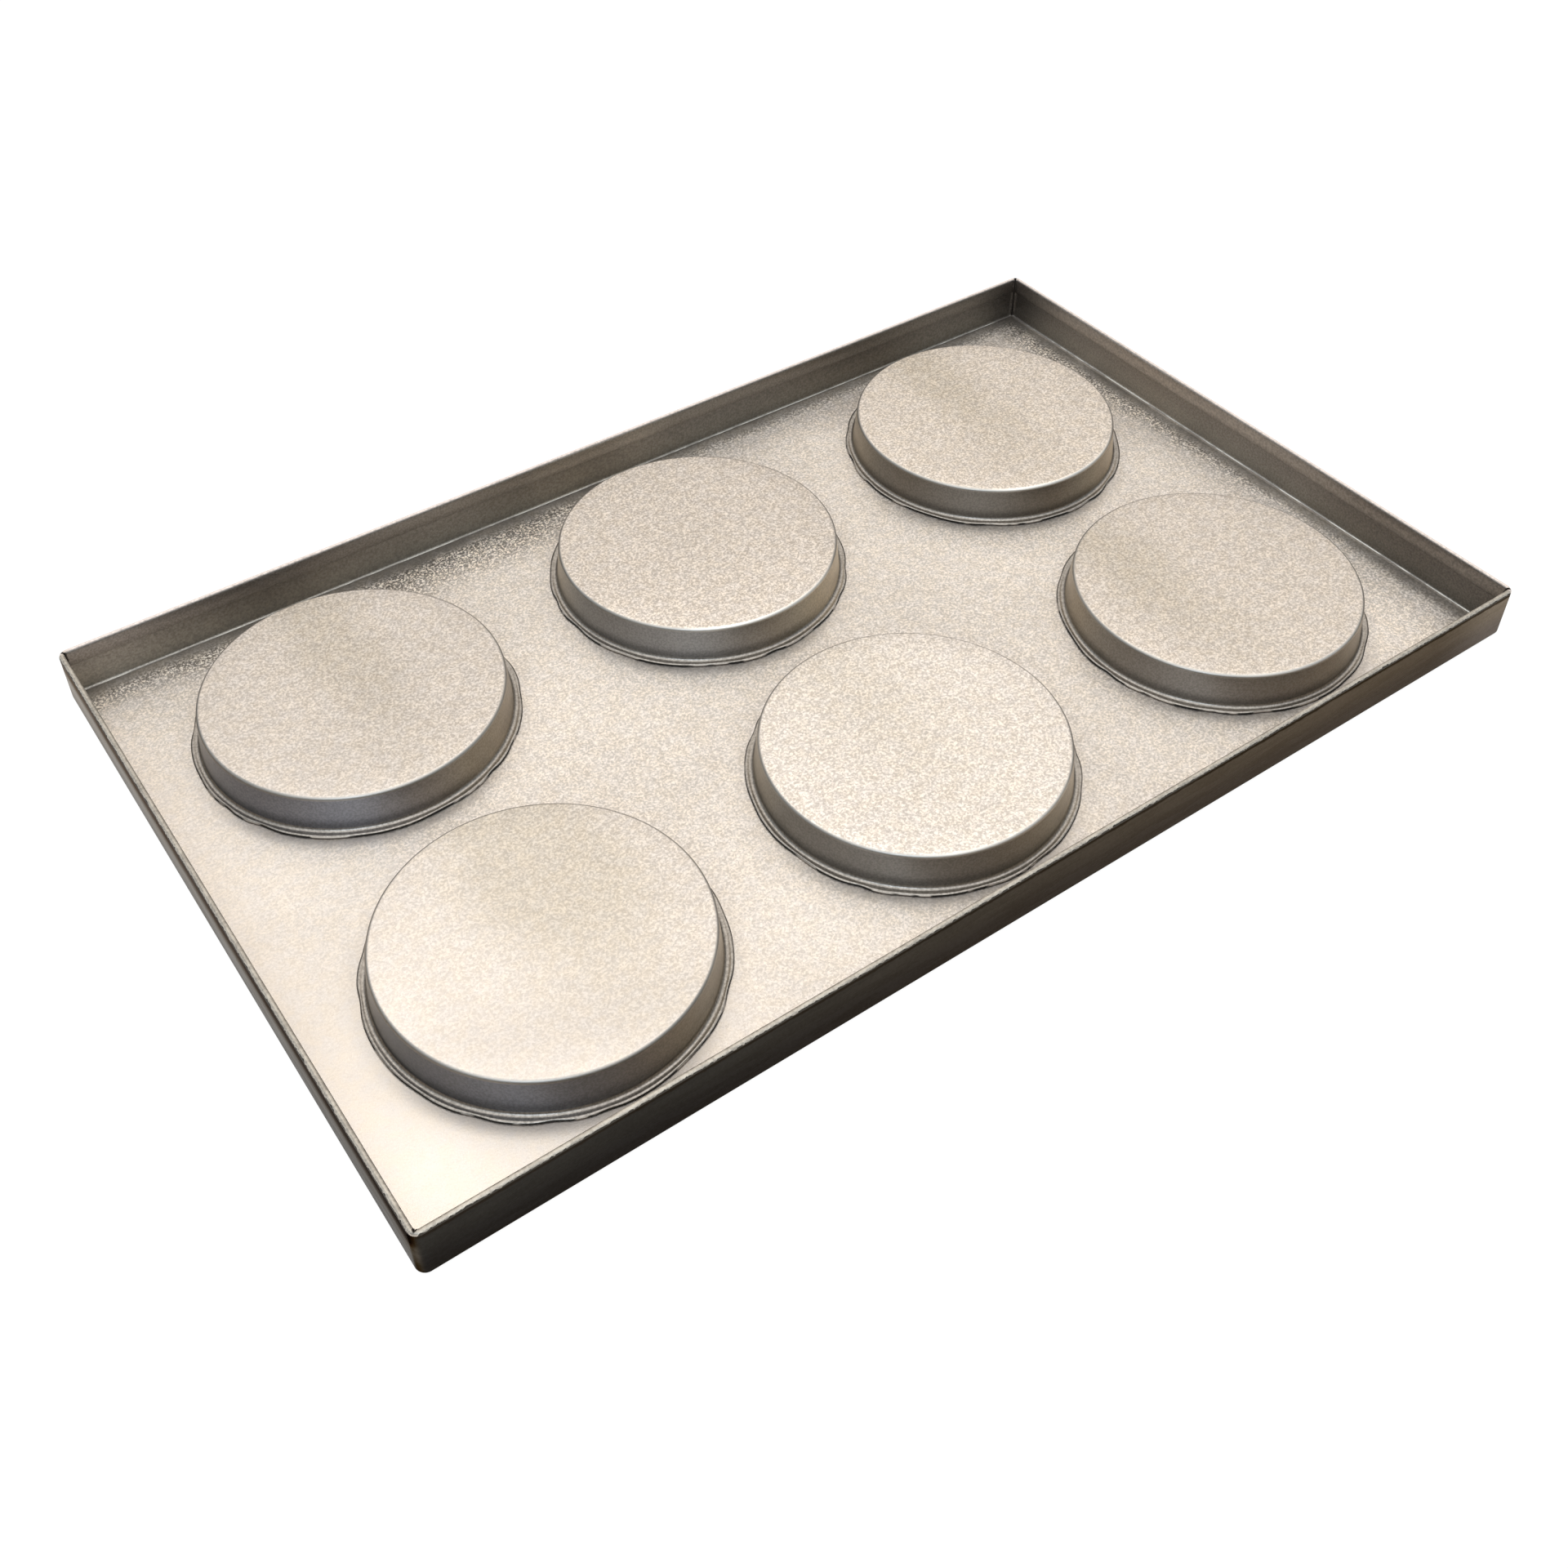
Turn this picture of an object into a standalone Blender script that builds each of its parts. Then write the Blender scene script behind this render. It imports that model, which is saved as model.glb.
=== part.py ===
"""Six-mould gastronorm baking tray, lying on its baking face with skirt and mould bottoms up.

Units are metres, +Z is up, and the origin is the centre of the flat baking face.
X runs along the long side, Y along the short side, and the front is at -Y.
"""
import math

import bmesh
import bpy
from mathutils import Matrix, Vector

MM = 0.001

# Overall tray
TRAY_LENGTH = 530.0 * MM
TRAY_WIDTH = 325.0 * MM
TRAY_HEIGHT = 24.5 * MM
SHEET = 1.0 * MM
CORNER_RADIUS = 4.0 * MM
FOLD_INNER_RADIUS = 1.0 * MM

# Hem: the skirt's edge turned over inwards
HEM_DEPTH = 8.0 * MM
HEM_GAP = 0.4 * MM
CORNER_SLIT = 0.5 * MM

# Moulds
COLUMNS = ("left", "middle", "right")
ROWS = ("front", "back")
CUP_SHEET = 0.8 * MM
CUP_TOP_RADIUS = 63.3 * MM
CUP_DRAFT = 1.3 * MM
CUP_HEIGHT = 17.7 * MM
CUP_EDGE_RADIUS = 1.6 * MM
CUP_BEND_RADIUS = 1.6 * MM
FLANGE_WIDTH = 2.2 * MM
FLANGE_WAVE = 0.25 * MM
BEAD_HEIGHT = 0.4 * MM
COLLAR_LIP = 0.8 * MM
END_MARGIN = 25.6 * MM
SIDE_MARGIN = 15.8 * MM

# Clearance between pieces that touch
FIT_GAP = 0.3 * MM

# Facets
ROUND_STEPS = 40
CORNER_STEPS = 5
FOLD_STEPS = 2
EDGE_STEPS = 3
HEM_STEPS = 5
SHARP_ANGLE = math.radians(35.0)

# Sizes that follow from the ones above
FOLD_RADIUS = SHEET + FOLD_INNER_RADIUS
HEM_THICKNESS = 2.0 * SHEET + HEM_GAP
FLANGE_BOTTOM = SHEET + FIT_GAP
FLANGE_TOP = FLANGE_BOTTOM + CUP_SHEET
CUP_FOOT_RADIUS = CUP_TOP_RADIUS + CUP_DRAFT
BEND_CENTRE_R = CUP_FOOT_RADIUS + CUP_BEND_RADIUS
BEND_CENTRE_Z = FLANGE_TOP + CUP_BEND_RADIUS
CUP_TOP_Z = SHEET + CUP_HEIGHT
FLANGE_RADIUS = BEND_CENTRE_R + FLANGE_WIDTH
PITCH_X = (TRAY_LENGTH - 2.0 * (END_MARGIN + FLANGE_RADIUS)) / (len(COLUMNS) - 1)
PITCH_Y = (TRAY_WIDTH - 2.0 * (SIDE_MARGIN + FLANGE_RADIUS)) / (len(ROWS) - 1)


def clear_scene():
    for item in list(bpy.data.objects):
        bpy.data.objects.remove(item, do_unlink=True)


def metal(name, colour, roughness):
    """One bare metal finish."""
    material = bpy.data.materials.new(name)
    material.use_nodes = True
    shader = material.node_tree.nodes["Principled BSDF"]
    shader.inputs["Base Color"].default_value = (*colour, 1.0)
    shader.inputs["Metallic"].default_value = 1.0
    shader.inputs["Roughness"].default_value = roughness
    material.diffuse_color = (*colour, 1.0)
    return material


def add_object(name, bm, material, location=(0.0, 0.0, 0.0)):
    """Turn a bmesh into a smooth-shaded object with outward faces."""
    bmesh.ops.recalc_face_normals(bm, faces=bm.faces)
    mesh = bpy.data.meshes.new(name)
    bm.to_mesh(mesh)
    bm.free()
    mesh.materials.append(material)
    mesh.shade_smooth()
    mesh.set_sharp_from_angle(angle=SHARP_ANGLE)
    item = bpy.data.objects.new(name, mesh)
    item.location = location
    bpy.context.scene.collection.objects.link(item)
    return item


def arc(centre, radius, start_deg, end_deg, steps):
    """Points along an arc in a profile plane, both ends included."""
    points = []
    for step in range(steps + 1):
        angle = math.radians(start_deg + (end_deg - start_deg) * step / steps)
        points.append((centre[0] + radius * math.cos(angle), centre[1] + radius * math.sin(angle)))
    return points


def bridge(bm, first, second):
    """Quads between two closed rings with equal numbers of vertices."""
    count = len(first)
    for index in range(count):
        after = (index + 1) % count
        bm.faces.new((first[index], first[after], second[after], second[index]))


def corner_centres():
    """Centres of the rounded corners, counter-clockwise from +X +Y, with their start angles."""
    reach_x = TRAY_LENGTH / 2.0 - CORNER_RADIUS
    reach_y = TRAY_WIDTH / 2.0 - CORNER_RADIUS
    return (
        (reach_x, reach_y, 0.0),
        (-reach_x, reach_y, 90.0),
        (-reach_x, -reach_y, 180.0),
        (reach_x, -reach_y, 270.0),
    )


def skirt_ring(bm, inset, height):
    """A rounded rectangle that lies inset from the tray's outer faces."""
    ring = []
    for centre_x, centre_y, start in corner_centres():
        for x, y in arc((centre_x, centre_y), CORNER_RADIUS - inset, start, start + 90.0, CORNER_STEPS):
            ring.append(bm.verts.new((x, y, height)))
    return ring


def skirt_profile():
    """Section of one skirt wall as (inset, height), from the sheet's underside round to its top."""
    rim_radius = HEM_THICKNESS / 2.0
    flat_angle = math.radians(90.0 - 90.0 / HEM_STEPS)
    rim_z = TRAY_HEIGHT - rim_radius * math.sin(flat_angle)
    hem_z = TRAY_HEIGHT - HEM_DEPTH
    profile = arc((FOLD_RADIUS, FOLD_RADIUS), FOLD_RADIUS, 270.0, 180.0, FOLD_STEPS)
    profile += arc((rim_radius, rim_z), rim_radius, 180.0, 0.0, HEM_STEPS)
    profile += [(HEM_THICKNESS, hem_z), (HEM_THICKNESS - SHEET, hem_z)]
    profile += arc((rim_radius, rim_z), HEM_GAP / 2.0, 0.0, 180.0, FOLD_STEPS)
    profile += arc((FOLD_RADIUS, FOLD_RADIUS), FOLD_INNER_RADIUS, 180.0, 270.0, FOLD_STEPS)
    return profile


def turned_ring(bm, centre_x, centre_y, radius, height, wave=0.0):
    """One ring of a turned shape; a wave moves every second vertex in and out."""
    ring = []
    for step in range(ROUND_STEPS):
        angle = 2.0 * math.pi * step / ROUND_STEPS
        reach = radius + wave * (-1) ** step
        x = centre_x + reach * math.cos(angle)
        y = centre_y + reach * math.sin(angle)
        ring.append(bm.verts.new((x, y, height)))
    return ring


def collar_profile():
    """Section of a hole's collar as (radius, height), from the underside round to the top."""
    centre = (BEND_CENTRE_R, BEND_CENTRE_Z)
    outer_bend = BEND_CENTRE_Z - SHEET
    lip_z = BEND_CENTRE_Z + COLLAR_LIP
    profile = arc(centre, BEND_CENTRE_Z, 270.0, 180.0, FOLD_STEPS)
    profile += [(BEND_CENTRE_R - BEND_CENTRE_Z, lip_z), (BEND_CENTRE_R - outer_bend, lip_z)]
    profile += arc(centre, outer_bend, 180.0, 270.0, FOLD_STEPS)
    return profile


def cup_profile():
    """Section of a mould as (radius, height), from its outer top edge round to its inner one."""
    bend = (BEND_CENTRE_R, BEND_CENTRE_Z)
    edge = (CUP_TOP_RADIUS - CUP_EDGE_RADIUS, CUP_TOP_Z - CUP_EDGE_RADIUS)
    profile = arc(edge, CUP_EDGE_RADIUS, 90.0, 0.0, EDGE_STEPS)
    profile += arc(bend, CUP_BEND_RADIUS, 180.0, 270.0, FOLD_STEPS)
    profile += [(BEND_CENTRE_R + FLANGE_WIDTH / 2.0, FLANGE_TOP + BEAD_HEIGHT)]
    profile += [(FLANGE_RADIUS, FLANGE_TOP), (FLANGE_RADIUS, FLANGE_BOTTOM)]
    profile += arc(bend, CUP_BEND_RADIUS + CUP_SHEET, 270.0, 180.0, FOLD_STEPS)
    profile += arc(edge, CUP_EDGE_RADIUS - CUP_SHEET, 0.0, 90.0, EDGE_STEPS)
    return profile


def cup_places():
    """Name and centre of every mould."""
    places = []
    for row, row_name in enumerate(ROWS):
        for column, column_name in enumerate(COLUMNS):
            x = (column - (len(COLUMNS) - 1) / 2.0) * PITCH_X
            y = (row - (len(ROWS) - 1) / 2.0) * PITCH_Y
            places.append((f"cup_{row_name}_{column_name}", x, y))
    return places


def fill_between(bm, loops, normal):
    """Flat sheet between an outer loop and the hole loops inside it."""
    edges = []
    for loop in loops:
        for index, vertex in enumerate(loop):
            edges.append(bm.edges.get((vertex, loop[(index + 1) % len(loop)])))
    bmesh.ops.triangle_fill(bm, use_beauty=True, use_dissolve=False, edges=edges, normal=normal)


def corner_slits(material):
    """Cutter for the mitre slits where the hems of two neighbouring walls butt."""
    bm = bmesh.new()
    outer_end = CORNER_RADIUS - HEM_THICKNESS / 2.0
    inner_end = -2.0 * CORNER_RADIUS
    size = Vector((outer_end - inner_end, CORNER_SLIT, HEM_DEPTH + 2.0 * SHEET, 1.0))
    shift = Matrix.Translation(Vector(((outer_end + inner_end) / 2.0, 0.0, 0.0)))
    for centre_x, centre_y, start in corner_centres():
        turn = Matrix.Rotation(math.radians(start + 45.0), 4, "Z")
        place = Matrix.Translation(Vector((centre_x, centre_y, TRAY_HEIGHT - HEM_DEPTH / 2.0)))
        bmesh.ops.create_cube(bm, size=1.0, matrix=place @ turn @ shift @ Matrix.Diagonal(size))
    cutter = add_object("corner_slit_cutter", bm, material)
    cutter.hide_render = True
    cutter.display_type = "WIRE"
    return cutter


def tray_sheet(material):
    """The folded blank: flat sheet, skirt, hem and six collared holes."""
    bm = bmesh.new()
    rings = [skirt_ring(bm, inset, height) for inset, height in skirt_profile()]
    for first, second in zip(rings, rings[1:]):
        bridge(bm, first, second)
    bottom_loops = [rings[0]]
    top_loops = [rings[-1]]
    for _, x, y in cup_places():
        collar = [turned_ring(bm, x, y, radius, height) for radius, height in collar_profile()]
        for first, second in zip(collar, collar[1:]):
            bridge(bm, first, second)
        bottom_loops.append(collar[0])
        top_loops.append(collar[-1])
    fill_between(bm, bottom_loops, (0.0, 0.0, -1.0))
    fill_between(bm, top_loops, (0.0, 0.0, 1.0))
    sheet = add_object("tray_sheet", bm, material)
    slits = sheet.modifiers.new("corner_slits", "BOOLEAN")
    slits.operation = "DIFFERENCE"
    slits.object = corner_slits(material)
    return sheet


def cup_mesh_rings(bm):
    """All rings of one mould, with the flange's edge waved."""
    rings = []
    for radius, height in cup_profile():
        wave = FLANGE_WAVE if radius == FLANGE_RADIUS else 0.0
        rings.append(turned_ring(bm, 0.0, 0.0, radius, height, wave))
    return rings


def cup(name, x, y, material):
    """One drawn mould, its closed bottom up and its flange on the sheet."""
    bm = bmesh.new()
    rings = cup_mesh_rings(bm)
    for first, second in zip(rings, rings[1:]):
        bridge(bm, first, second)
    bm.faces.new(rings[0])
    bm.faces.new(list(reversed(rings[-1])))
    return add_object(name, bm, material, (x, y, 0.0))


def build():
    clear_scene()
    tray_sheet(metal("aluminised_sheet", (0.62, 0.59, 0.54), 0.42))
    cup_metal = metal("aluminised_drawn_steel", (0.56, 0.53, 0.48), 0.38)
    for name, x, y in cup_places():
        cup(name, x, y, cup_metal)


build()
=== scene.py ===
"""Looks of the six-mould gastronorm baking tray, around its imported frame. Units are metres."""

import math

import bmesh
import bpy
from mathutils import Matrix, Vector


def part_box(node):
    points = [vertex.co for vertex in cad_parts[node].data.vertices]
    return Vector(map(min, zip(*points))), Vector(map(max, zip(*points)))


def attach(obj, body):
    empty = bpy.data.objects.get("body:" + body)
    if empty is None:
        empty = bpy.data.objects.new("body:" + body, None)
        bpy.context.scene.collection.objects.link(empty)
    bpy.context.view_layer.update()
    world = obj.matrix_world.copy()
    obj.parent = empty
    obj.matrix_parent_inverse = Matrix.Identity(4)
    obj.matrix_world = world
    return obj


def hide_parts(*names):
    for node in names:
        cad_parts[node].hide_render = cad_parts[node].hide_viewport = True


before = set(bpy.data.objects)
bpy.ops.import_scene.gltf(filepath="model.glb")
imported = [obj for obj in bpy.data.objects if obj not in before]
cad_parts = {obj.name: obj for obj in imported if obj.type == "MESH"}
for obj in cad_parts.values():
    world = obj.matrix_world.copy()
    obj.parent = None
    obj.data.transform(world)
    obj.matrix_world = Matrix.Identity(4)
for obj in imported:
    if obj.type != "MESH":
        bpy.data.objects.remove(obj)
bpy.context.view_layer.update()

MM = 0.001

# Sizes read from the frame
TRAY_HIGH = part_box("tray_sheet")[1]
HALF_LENGTH = TRAY_HIGH.x
HALF_WIDTH = TRAY_HIGH.y
HEIGHT = TRAY_HIGH.z

# Folded sheet
SHEET = 1.0 * MM
CORNER_RADIUS = 4.0 * MM
CORNER_ANGLES = (0.0, 8.0, 16.0, 24.0, 31.0)
SEAM_ANGLE = 45.0
FOLD_INNER = 1.0 * MM
FOLD_OUTER = FOLD_INNER + SHEET
HEM_DEPTH = 8.0 * MM
HEM_GAP = 0.4 * MM
HEM_THICKNESS = 2.0 * SHEET + HEM_GAP
HEM_BREAK = (0.2 * MM, 0.25 * MM)
SEAM_WIDTH = 0.5 * MM
SEAM_DEPTH = 0.45 * MM
HEM_SLIT_DEPTH = 0.9 * MM
SIDE_STEP = 12.0 * MM
FOLD_STEPS = 6
RIM_STEPS = 5
HEM_STEPS = 4
SLIT_START = 72.0
GROOVE_END = (240.0, 255.0)
RIPPLE = 0.06 * MM
RIPPLE_WAVES = (61.0, 83.0)
COLLAR_STEPS = 96
SHARP_ANGLE = 40.0

# Strips of the skirt's section that make its outer face, and the ones after them that make its rim
OUTSIDE_STRIPS = FOLD_STEPS + 2
RIM_STRIPS = RIM_STEPS + 3

# Moulds
CUP_PITCH_X = 171.0 * MM
CUP_PITCH_Y = 156.6 * MM
CUP_NAMES = [
    f"cup_{row}_{column}"
    for row in ("front", "back")
    for column in ("left", "middle", "right")
]
CUP_SHEET = 0.8 * MM
CUP_TOP_RADIUS = 63.3 * MM
CUP_DRAFT = 1.3 * MM
CUP_TOP_Z = 18.7 * MM
CUP_EDGE_RADIUS = 1.6 * MM
CUP_BEND_RADIUS = 1.6 * MM
FLANGE_WIDTH = 2.2 * MM
FIT_GAP = 0.3 * MM
FLANGE_BOTTOM = SHEET + FIT_GAP
FLANGE_TOP = FLANGE_BOTTOM + CUP_SHEET
BEND_R = CUP_TOP_RADIUS + CUP_DRAFT + CUP_BEND_RADIUS
BEND_Z = FLANGE_TOP + CUP_BEND_RADIUS
FLANGE_RADIUS = BEND_R + FLANGE_WIDTH
COLLAR_LIP = 0.8 * MM
CUP_STEPS = 264
TOP_RINGS = 5
TOP_RING_STEP = 10.0 * MM
INSIDE_RINGS = 3
INSIDE_RING_STEP = 15.0 * MM
EDGE_STEPS = 8
WALL_PARTS = 4
BEND_STEPS = 6
BEND_END = 262.0
CUP_PHASE = 0.9

# Top of the flange, from its bead to its lip: out from the bend, up from the flat, share in the waves
FLANGE_BEAD = (
    (0.45 * MM, 0.02 * MM, 0.1),
    (0.85 * MM, 0.16 * MM, 0.3),
    (1.3 * MM, 0.18 * MM, 0.5),
    (1.7 * MM, 0.06 * MM, 0.8),
    (FLANGE_WIDTH - 0.25 * MM, -0.12 * MM, 1.0),
)
CUT_TOP = (FLANGE_RADIUS, FLANGE_TOP - 0.3 * MM, 1.0)
CUT_BOTTOM = (
    (FLANGE_RADIUS, FLANGE_BOTTOM + 0.15 * MM, 1.0),
    (FLANGE_RADIUS - 0.2 * MM, FLANGE_BOTTOM, 1.0),
)
PRESS_MARKS = 15
PRESS_DEPTH = 0.8 * MM
PRESS_LIFT = 0.12 * MM
PRESS_SHARPNESS = 4
PRESS_SPACING = (0.11, 0.05)
PRESS_EVEN = 0.68
WAVE_TURNS = (3.0, 5.0, 7.0)

# Colours
WHITE = (1.0, 1.0, 1.0)
SHEET_DARK = (0.545, 0.48, 0.42)
SHEET_LIGHT = (0.95, 0.853, 0.763)
# Painted shadow: right at the fold by the walls and around the moulds' feet
FOOT_SHADOW = (0.27, 0.24, 0.22)
BY_WALL_TINT = (1.0, 0.975, 0.935)
# Painted highlight along the fold at the foot of the walls
CREASE_HIGHLIGHT = (0.80, 0.765, 0.70)
# Painted shade on the floor in the far corner
CORNER_FLOOR_SHADE = (0.50, 0.50, 0.50)
# Inner walls in painted light and shade: near walls lighter so the moulds reflect them lighter, hems mostly
# paler, foot lighter, far corner darker
NEAR_SHADE = (0.52, 0.475, 0.43)
WALL_SHADE = (0.365, 0.329, 0.294)
BACK_SHADE = (0.270, 0.245, 0.216)
BACK_HEM_SHADE = (1.17, 1.16, 1.15)
BACK_LEFT_HEM_SHADE = (0.95, 0.94, 0.97)
RIGHT_HEM_SHADE = (1.40, 1.385, 1.385)
WALL_FOOT = (1.27, 1.29, 1.27)
CORNER_SHADE = (0.72, 0.71, 0.72)
SEAM_SHADE = (0.105, 0.094, 0.084)
COOL_LEAN = (0.975, 0.985, 1.0)
WARM_LEAN = (1.0, 0.99, 0.965)
CUP_DARK = (0.51, 0.448, 0.391)
CUP_LIGHT = (0.90, 0.805, 0.717)
# Painted shade strip across the moulds' bottoms
BAND_SHADE = (0.88, 0.87, 0.83)
DRAWN_DARK = (0.235, 0.218, 0.202)
DRAWN_LIGHT = (0.315, 0.292, 0.27)
FOOT_DARK = (0.27, 0.242, 0.212)
FOOT_LIGHT = (0.42, 0.378, 0.334)
# Painted reflection tints of the mould walls: cool on the near side, warm on the other
PLAIN_SIDE = (0.87, 0.845, 0.79)
COOL_SIDE = (0.94, 1.01, 1.17)
WARM_SIDE = (1.16, 1.06, 0.87)
# Painted highlight on the moulds' rounded top edges
EDGE_HIGHLIGHT = (0.50, 0.462, 0.415)
# Outer long sides in painted shade: nearly black, lighter towards the right end, darker and bluer towards
# the foot
OUTSIDE_SHADE_LEFT = (0.034, 0.032, 0.029)
OUTSIDE_SHADE_RIGHT = (0.116, 0.092, 0.069)
OUTSIDE_SHADE_END = (0.262, 0.218, 0.172)
OUTSIDE_SHADE_FOOT = (0.72, 0.75, 0.86)
# Outer short sides in painted light and shade: grey, darker at the front, at the foot and under the rim,
# with a painted dark band just below the rim
GREY_NEAR = (0.105, 0.092, 0.078)
GREY_FAR = (0.367, 0.318, 0.262)
GREY_UNDER_RIM = (0.42, 0.375, 0.32)
GREY_BAND = (0.022, 0.017, 0.013)
# Tints of the outer walls' grazing reflections, dimmed in the painted shade under the rim
GRAZING_TINT = (0.46, 0.44, 0.415)
SHADED_GRAZING_TINT = (0.245, 0.203, 0.165)
BAND_GRAZING_TINT = (0.15, 0.12, 0.09)
# Painted shadow of the gap under each flange's cut edge, lighter where the flange touches the sheet
CUT_EDGE_SHADOW = (0.030, 0.026, 0.022)
CUT_EDGE_UNSHADED = (0.42, 0.37, 0.32)
# Rim: rear part darker, with a painted highlight on its edge; RIM_LINE is the painted shade along its edges
# and the dark of the corner cracks
REAR_RIM = (0.34, 0.29, 0.255)
REAR_RIM_EDGE = (0.92, 0.82, 0.76)
RIM_LINE = (0.03, 0.025, 0.02)
RIM_DARK = (0.35, 0.311, 0.265)
RIM_LIGHT = (0.585, 0.528, 0.452)

# Surfaces. A ramp is (start, stop), or (start, stop, level at the start, level at the stop)
SHEET_ROUGH = (0.1, 0.9, 0.42, 0.58)
CUP_ROUGH = (0.1, 0.9, 0.34, 0.44)
OUTSIDE_ROUGH = (0.9, 1.08, 0.24, 0.30)
RIM_ROUGH = (0.3, 0.7, 0.46, 0.60)
DRAWN_ROUGH = 0.34
RUBBED_ROUGH = 0.40
CUT_ROUGH = 0.5
SHEET_RELIEF = 0.04 * MM
CUP_RELIEF = 0.03 * MM
WALL_RELIEF_SHARE = 0.3

# Noises as (scale, detail, roughness, distortion), where the last ones may be left out
PITS = (1100.0, 2.0, 0.5)
RIM_GRAIN = (700.0, 3.0, 0.65)
RIM_PATCHES = (80.0, 3.0, 0.6)

# Patterns as a noise and its ramp
WORMS = ((900.0, 2.0, 0.5, 0.6), (0.37, 0.67))
GRAINS = ((1600.0, 1.0, 0.5), (0.34, 0.68))
CLUSTERS = ((260.0, 2.0, 0.5), (0.34, 0.66, -0.09, 0.09))
STAINS = ((16.0, 3.0, 0.6), (0.3, 0.7, 0.975, 1.02))
LEANING = ((160.0, 3.0, 0.6), (0.35, 0.65))
WALL_GRAIN = ((1000.0, 2.0, 0.6), (0.34, 0.66, 0.85, 1.14))
CREASE_BREAKS = ((60.0, 3.0, 0.6), (0.42, 0.56, 0.2, 1.0))
DRAWN_GRAIN = ((1100.0, 2.0, 0.6), (0.32, 0.68))
SHADOW_BREAKS = ((70.0, 2.0, 0.6), (0.52, 0.60))
OUTSIDE_STREAKS = ((1.0, 3.0, 0.6), (0.3, 0.7, 0.90, 1.08))
OUTSIDE_GRAIN = ((900.0, 2.0), (0.3, 0.7, 0.93, 1.07))
WORM_SHARE = 0.84
STREAK_STRETCH = (30.0, 30.0, 240.0)

# Ragged lines as a width and a noise
SEAM_RAGS = (5.0 * MM, (300.0, 4.0, 0.7))
DULL_RAGS = (15.0 * MM, (36.0, 3.0, 0.6))
BAND_RAGS = (30.0 * MM, (22.0, 2.0))
RIM_SHADE_RAGS = (2.2 * MM, (160.0, 3.0, 0.7))

# Insets from a face between which something begins and is full
ON_WALL = (5.5 * MM, 3.0 * MM)
BY_CORNER = (26.0 * MM, 4.0 * MM)
ON_RIM = (3.4 * MM, 2.6 * MM)
ON_LONG_SIDE = (1.6 * MM, 0.1 * MM)

# Corner seams
SEAM_SOFTNESS = 0.5 * MM
SEAM_REACH = (4.6 * MM, 3.6 * MM)
WALL_CRACK = 0.9 * MM
RIM_CRACK = 0.8 * MM

# Level directions, along which something changes
DIAGONAL = (1.0, 0.6, 0.0)
HALO_BACK = (0.42, 0.91, 0.0)
CUP_BACK = (0.3, 0.95, 0.0)
COOL_FACING = (-0.77, -0.64, 0.0)

# Ramps of the inner walls, along x, across y and up z
# These ramps place the inner walls' painted light and shade: hem, right wall's rise, glint and fall, back
# wall's fade, end and middle, and foot
HEM_FOLD = (HEIGHT - HEM_DEPTH - 0.6 * MM, HEIGHT - HEM_DEPTH + 1.5 * MM)
LEFT_PART = (0.0, -0.20)
RIGHT_WALL_RISE = (-0.16, 0.06, 0.50, 1.0)
RIGHT_WALL_FALL = (0.10, 0.148, 1.0, 0.70)
GLINT_PLACE = 0.062
GLINT_TONE = (0.0, 0.045, 1.13, 1.0)
BACK_WALL_FADE = (-0.20, 0.13, 1.19, 0.90)
BACK_WALL_END = (-0.22, -0.25, 1.0, 1.2)
BACK_WALL_MIDDLE = (0.01, 0.05, 1.0, 0.0)
BACK_MIDDLE_RISE = (0.0, 0.02, 0.1, 0.6)
WALL_FOOT_PART = (3.0 * MM, 14.0 * MM, 1.0, 0.0)

# Ramps of the tray's floor, by its gap to the back and right walls and by its place
# Painted light: flecks evener and paler towards the front-left corner, on the floor and the moulds' bottoms
EVEN_FLECKS = (-0.34, -0.10, 0.5, 0.0)
# The ramps below place painted shade beside the walls: darker, calmer flecks and strips, light and shade on
# the folds, crisper flecks as painted glints
END_REACH = (-0.16, 0.09, 3.0, 1.25)
SIDE_REACH_LEFT = (-0.24, -0.12, 1.45, 0.76)
SIDE_REACH_RIGHT = (-0.07, 0.07, 1.0, 3.0)
STRIP_RAGS_SHARE = 0.35
CALM_STRIP = (2.5 * MM, 8.5 * MM, 0.65, 0.0)
CALM_FLECKS = 0.45
DARK_FLECKS_BY_WALL = (1.0 * MM, 28.0 * MM, 0.33, 1.0)
LIGHT_FLECKS_BY_WALL = (-2.0 * MM, 7.0 * MM, 0.46, 1.0)
WARM_BY_WALL = (2.0 * MM, 30.0 * MM, 1.0, 0.0)
STRIP_TONE = (3.5 * MM, 10.0 * MM, 0.69, 1.0)
END_STRIP_TONE = (4.0 * MM, 13.0 * MM, 0.72, 1.0)
END_STRIP_PART = (-0.05, -0.11)
END_FOOT_TONE = (-0.2 * MM, 1.5 * MM, 2.4, 1.0)
SIDE_FOOT_TONE = (-0.2 * MM, 1.0 * MM, 0.78, 1.0)
CRISP_OUTER = (9.0 * MM, 27.0 * MM, 1.0, 0.0)
CRISP_INNER = (4.0 * MM, 9.0 * MM)
CRISP_TONE = (0.25, 0.85, 0.80, 1.25)
CORNER_FLOOR_SHADE_PART = (5.0 * MM, 28.0 * MM, 1.0, 0.0)
# Painted highlight along the fold, fading past the far corner, and the painted shadow right at the fold
CREASE_PAST_CORNER = (9.0 * MM, 17.0 * MM)
CREASE_SHADOW = (0.15 * MM, -0.05 * MM)
CREASE_PART = (-0.05 * MM, -0.15 * MM)
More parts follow.
